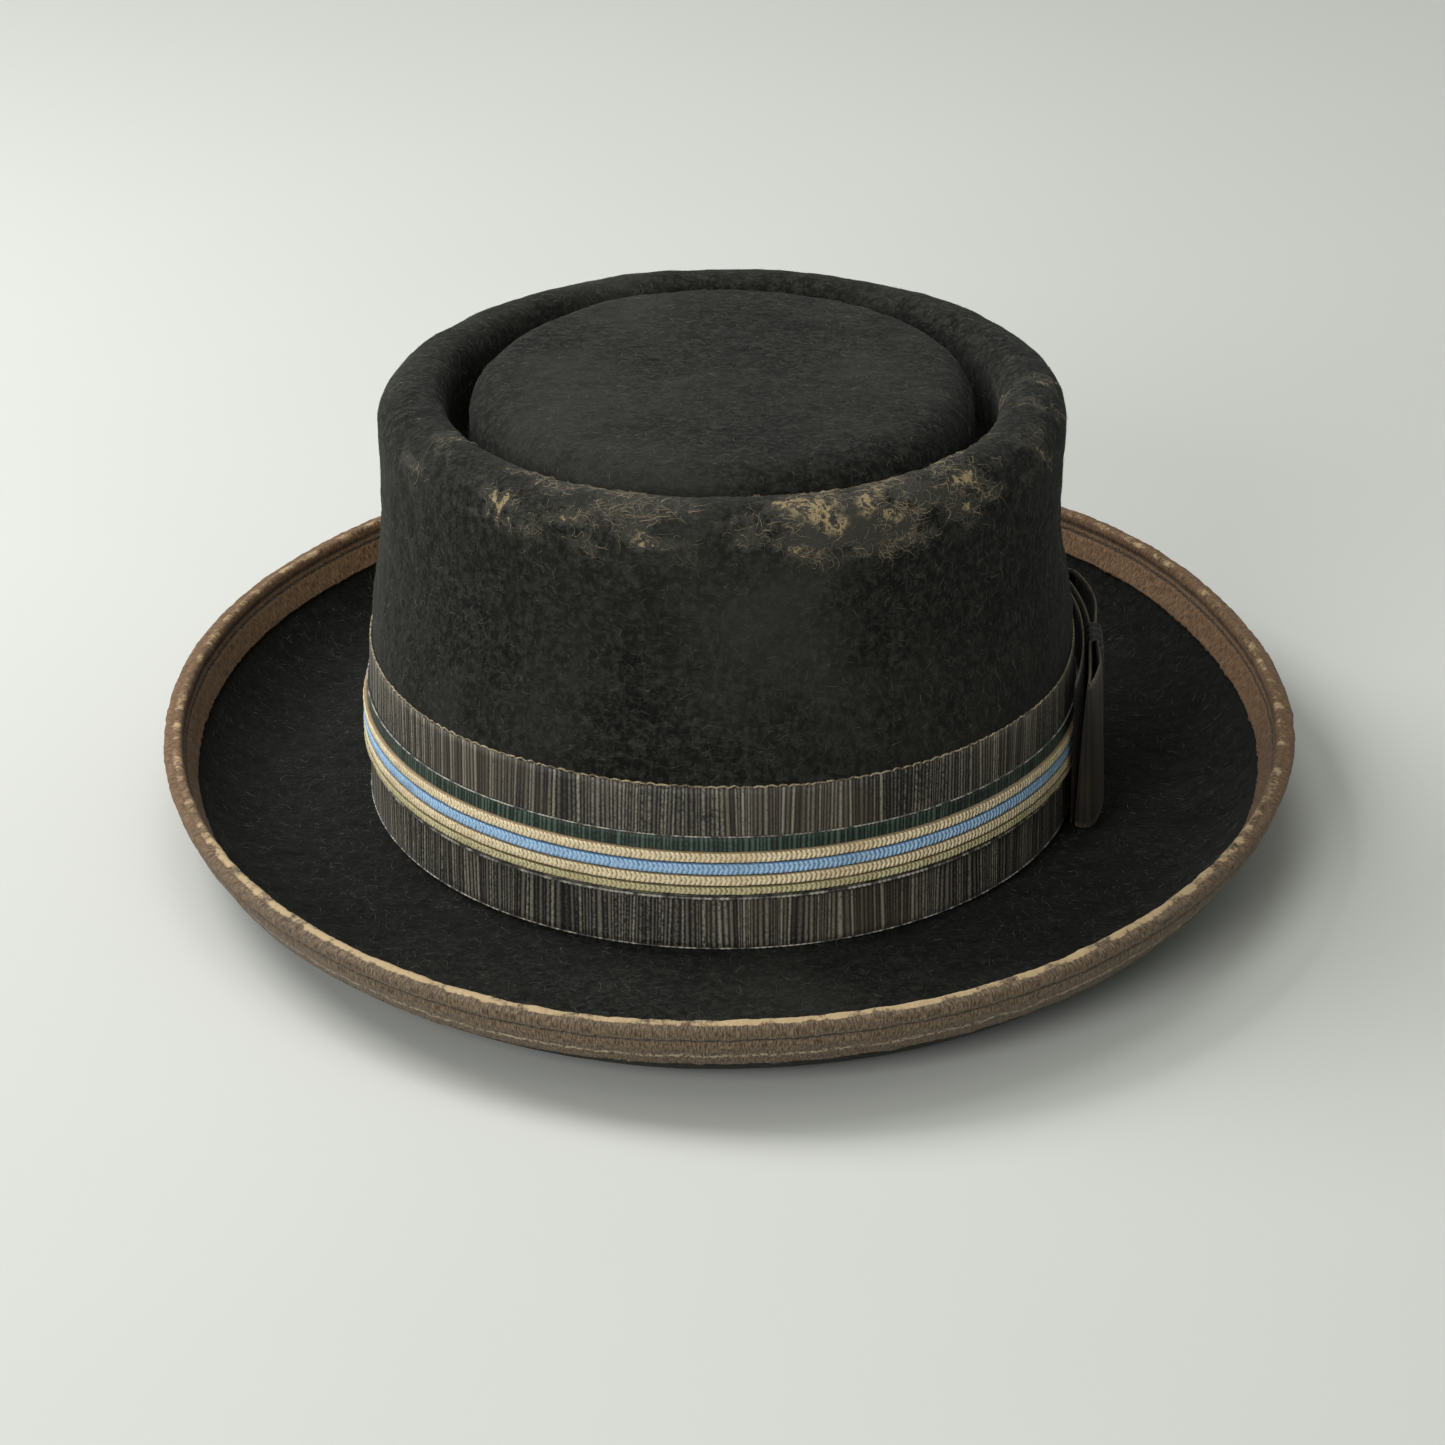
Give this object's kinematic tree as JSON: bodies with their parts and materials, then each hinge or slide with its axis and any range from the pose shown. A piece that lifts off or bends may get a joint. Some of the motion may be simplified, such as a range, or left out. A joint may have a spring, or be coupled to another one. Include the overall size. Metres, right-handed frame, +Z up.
{
  "type": "felt hat with telescope crown",
  "caption": "Fur-felt hat: low dome inside a pinched, rounded rim, all-round curled brim bound in ribbon, ribbed band under a striped ribbon, flat side bow, leather sweatband and lining.",
  "frame": {"origin": "on the surface that the brim rests on, under the middle of the head opening", "axes": "+Z up to the crown, +X to the wearer's left, where the bow is, -Y to the front"},
  "size_m": [0.2786, 0.3472, 0.1116],
  "materials": {
    "felt": "matte fur felt, worn pale along the rim",
    "binding_ribbon": "worn taupe-brown grosgrain, pale along the lip",
    "binding_thread": "dull dark brown thread",
    "band_ribbon": "dark brown-black grosgrain with upright ribs",
    "green_ribbon": "green grosgrain",
    "cream_braid": "cream flat braid",
    "blue_braid": "pale blue flat braid",
    "olive_braid": "straw-olive flat braid",
    "black_thread": "dull black thread",
    "sweatband_leather": "worn brown leather",
    "reed": "matte",
    "reed_tape": "dark cotton tape",
    "leather_thread": "waxed tan thread",
    "small_bow_ribbon": "dark satin ribbon",
    "lining_satin": "aged champagne satin",
    "lining_piping": "satin-covered cord",
    "tag_card": "blank card, matte"
  },
  "bodies": {
    "root": {"felt_body": "felt", "brim_binding": "binding_ribbon", "binding_stitches": "binding_thread", "hat_band": "band_ribbon", "stripe_ribbon": "green_ribbon", "cream_braid_upper": "cream_braid", "blue_braid": "blue_braid", "cream_braid_lower": "cream_braid", "olive_braid": "olive_braid", "band_tacks": "black_thread", "bow_backing": "band_ribbon", "bow_front_loop": "band_ribbon", "bow_back_loop": "band_ribbon", "bow_knot": "band_ribbon", "sweatband": "sweatband_leather", "sweatband_reed": "reed", "reed_tape": "reed_tape", "sweatband_stitches": "leather_thread", "sweatband_seam_tape": "reed_tape", "sweatband_bow": "small_bow_ribbon", "lining_side": "lining_satin", "lining_tip": "lining_satin", "lining_piping": "lining_piping", "size_tag": "tag_card"}
  },
  "joints": []
}
